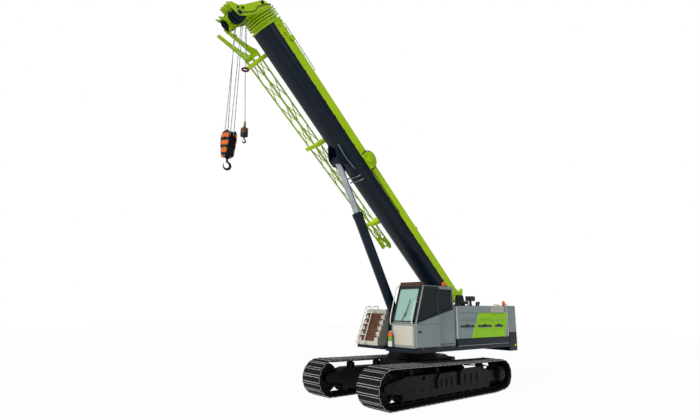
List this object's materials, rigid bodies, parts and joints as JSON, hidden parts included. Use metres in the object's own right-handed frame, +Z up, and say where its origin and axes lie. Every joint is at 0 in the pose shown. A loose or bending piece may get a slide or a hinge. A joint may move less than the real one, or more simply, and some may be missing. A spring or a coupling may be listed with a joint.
{
  "type": "crawler crane",
  "caption": "Crawler crane with a telescopic box boom, a stowed lattice jib, a side cab, engine houses and a rear counterweight on two wide tracks.",
  "frame": {"origin": "on the ground under the slewing axis", "axes": "+X forward along the boom, +Y to the cab's side, +Z up"},
  "size_m": [12.7514, 3.56, 11.7022],
  "materials": {
    "lime_paint": "gloss",
    "lime_plates": "gloss",
    "navy_paint": "gloss",
    "grey_paint": "gloss",
    "dark_steel": "satin",
    "black_paint": "satin",
    "chrome_rod": "polished",
    "rope_steel": "satin",
    "hook_orange": "gloss",
    "brown_paint": "satin",
    "white_paint": "gloss",
    "window_glass": "clear",
    "trim_plastic": "matte",
    "lamp_orange": "gloss"
  },
  "bodies": {
    "carbody": {"carbody": "navy_paint", "slewing_ring": "dark_steel"},
    "left_crawler": {"left_track_frame": "navy_paint", "left_track_shoes": "dark_steel", "left_track_rollers": "dark_steel", "left_idler": "dark_steel", "left_track_drive": "dark_steel"},
    "right_crawler": {"right_track_frame": "navy_paint", "right_track_shoes": "dark_steel", "right_track_rollers": "dark_steel", "right_idler": "dark_steel", "right_track_drive": "dark_steel"},
    "upperworks": {"upper_frame": "navy_paint", "deck_pins": "dark_steel", "left_house": "grey_paint", "right_house": "grey_paint", "counterweight_upper": "grey_paint", "cab_shell": "grey_paint", "counterweight_lower": "navy_paint", "engine_block": "black_paint", "cab_windows": "window_glass", "cab_interior": "trim_plastic", "lamps": "lamp_orange", "step_box": "brown_paint", "grab_rails": "white_paint"},
    "cab_door": {"cab_door": "grey_paint"},
    "left_house_door_1": {"left_house_door_1": "grey_paint"},
    "left_house_door_2": {"left_house_door_2": "grey_paint"},
    "left_house_door_3": {"left_house_door_3": "grey_paint"},
    "right_house_door_1": {"right_house_door_1": "grey_paint"},
    "right_house_door_2": {"right_house_door_2": "grey_paint"},
    "main_winch": {"main_winch_drum": "dark_steel"},
    "aux_winch": {"aux_winch_drum": "dark_steel"},
    "boom_base": {"boom_base_upper_shell": "lime_paint", "boom_foot": "lime_paint", "boom_base_lower_shell": "navy_paint", "cylinder_bracket": "navy_paint", "boom_base_collar": "lime_plates", "jib": "lime_paint", "jib_brackets": "lime_paint"},
    "section_2": {"boom_section_2": "lime_plates"},
    "section_3": {"boom_section_3": "lime_plates"},
    "section_4": {"boom_section_4": "lime_plates"},
    "section_5": {"boom_section_5": "lime_plates", "boom_head": "lime_paint", "head_sheaves": "dark_steel"},
    "luff_rod": {"luff_rod": "chrome_rod"},
    "luff_barrel": {"luff_barrel": "navy_paint"},
    "main_block": {"main_hook_block": "hook_orange", "main_rope_falls": "rope_steel"},
    "main_hook": {"main_hook": "dark_steel"},
    "aux_hook": {"aux_rope_fall": "rope_steel", "aux_hook": "brown_paint"}
  },
  "joints": [
    {"name": "left_gauge_slide", "type": "slide", "parent": "carbody", "child": "left_crawler", "axis": [0, 1, 0], "range_m": [0, 1.15]},
    {"name": "right_gauge_slide", "type": "slide", "parent": "carbody", "child": "right_crawler", "axis": [0, -1, 0], "range_m": [0, 1.15]},
    {"name": "slew", "type": "hinge", "parent": "carbody", "child": "upperworks", "pos_m": [0, 0, 1.4], "axis": [0, 0, 1], "continuous": true},
    {"name": "cab_door_slide", "type": "slide", "parent": "upperworks", "child": "cab_door", "axis": [-1, 0, 0], "range_m": [0, 0.85]},
    {"name": "left_house_door_1_hinge", "type": "hinge", "parent": "upperworks", "child": "left_house_door_1", "pos_m": [-0.7153, 1.5, 2.2], "axis": [0, 0, -1], "range_deg": [0, 95]},
    {"name": "left_house_door_2_hinge", "type": "hinge", "parent": "upperworks", "child": "left_house_door_2", "pos_m": [-1.7353, 1.5, 2.2], "axis": [0, 0, -1], "range_deg": [0, 95]},
    {"name": "left_house_door_3_hinge", "type": "hinge", "parent": "upperworks", "child": "left_house_door_3", "pos_m": [-2.8453, 1.5, 2.2], "axis": [0, 0, -1], "range_deg": [0, 95]},
    {"name": "right_house_door_1_hinge", "type": "hinge", "parent": "upperworks", "child": "right_house_door_1", "pos_m": [-1.0153, -1.5, 2.2], "axis": [0, 0, 1], "range_deg": [0, 95]},
    {"name": "right_house_door_2_hinge", "type": "hinge", "parent": "upperworks", "child": "right_house_door_2", "pos_m": [-2.3153, -1.5, 2.2], "axis": [0, 0, 1], "range_deg": [0, 95]},
    {"name": "main_winch_turn", "type": "hinge", "parent": "upperworks", "child": "main_winch", "pos_m": [-2.95, 0, 2], "axis": [0, 1, 0], "continuous": true},
    {"name": "aux_winch_turn", "type": "hinge", "parent": "upperworks", "child": "aux_winch", "pos_m": [-3.45, 0, 2.35], "axis": [0, 1, 0], "continuous": true},
    {"name": "luff", "type": "hinge", "parent": "upperworks", "child": "boom_base", "pos_m": [-2.26, 0, 3.16], "axis": [0, -1, 0], "range_deg": [-43, 37]},
    {"name": "rod_eye", "type": "hinge", "parent": "boom_base", "child": "luff_rod", "pos_m": [3.53968, 0, 7.55647], "axis": [0, -1, 0], "range_deg": [-8.2, 7.06]},
    {"name": "luff_stroke", "type": "slide", "parent": "luff_rod", "child": "luff_barrel", "axis": [-0.474, 0, -0.8805], "range_m": [-1.6746, 1.4418]},
    {"name": "boom_stroke", "type": "slide", "parent": "boom_base", "child": "section_2", "axis": [0.7314, 0, 0.682], "range_m": [0, 9.8]},
    {"name": "section_3_stroke", "type": "slide", "parent": "section_2", "child": "section_3", "axis": [0.7314, 0, 0.682], "range_m": [-0.01, 9.82]},
    {"name": "section_4_stroke", "type": "slide", "parent": "section_3", "child": "section_4", "axis": [0.7314, 0, 0.682], "range_m": [-0.01, 9.82]},
    {"name": "section_5_stroke", "type": "slide", "parent": "section_4", "child": "section_5", "axis": [0.7314, 0, 0.682], "range_m": [-0.01, 9.82]},
    {"name": "main_falls_plumb", "type": "hinge", "parent": "section_5", "child": "main_block", "pos_m": [7.56585, 0, 10.90757], "axis": [0, -1, 0], "range_deg": [-37.16, 43.16]},
    {"name": "main_hook_swivel", "type": "hinge", "parent": "main_block", "child": "main_hook", "pos_m": [7.4, 0, 6.7], "axis": [0, 0, 1], "continuous": true},
    {"name": "aux_falls_plumb", "type": "hinge", "parent": "section_5", "child": "aux_hook", "pos_m": [7.56585, 0, 10.90757], "axis": [0, -1, 0], "range_deg": [-37.16, 43.16]}
  ],
  "couplings": [
    {"joint": "rod_eye", "follows": "luff", "ratio": 0.19},
    {"joint": "luff_stroke", "follows": "luff", "m_per_rad": 2.2231},
    {"joint": "section_3_stroke", "follows": "boom_stroke", "ratio": 1},
    {"joint": "section_4_stroke", "follows": "boom_stroke", "ratio": 1},
    {"joint": "section_5_stroke", "follows": "boom_stroke", "ratio": 1},
    {"joint": "main_falls_plumb", "follows": "luff", "ratio": -1},
    {"joint": "aux_falls_plumb", "follows": "luff", "ratio": -1}
  ]
}
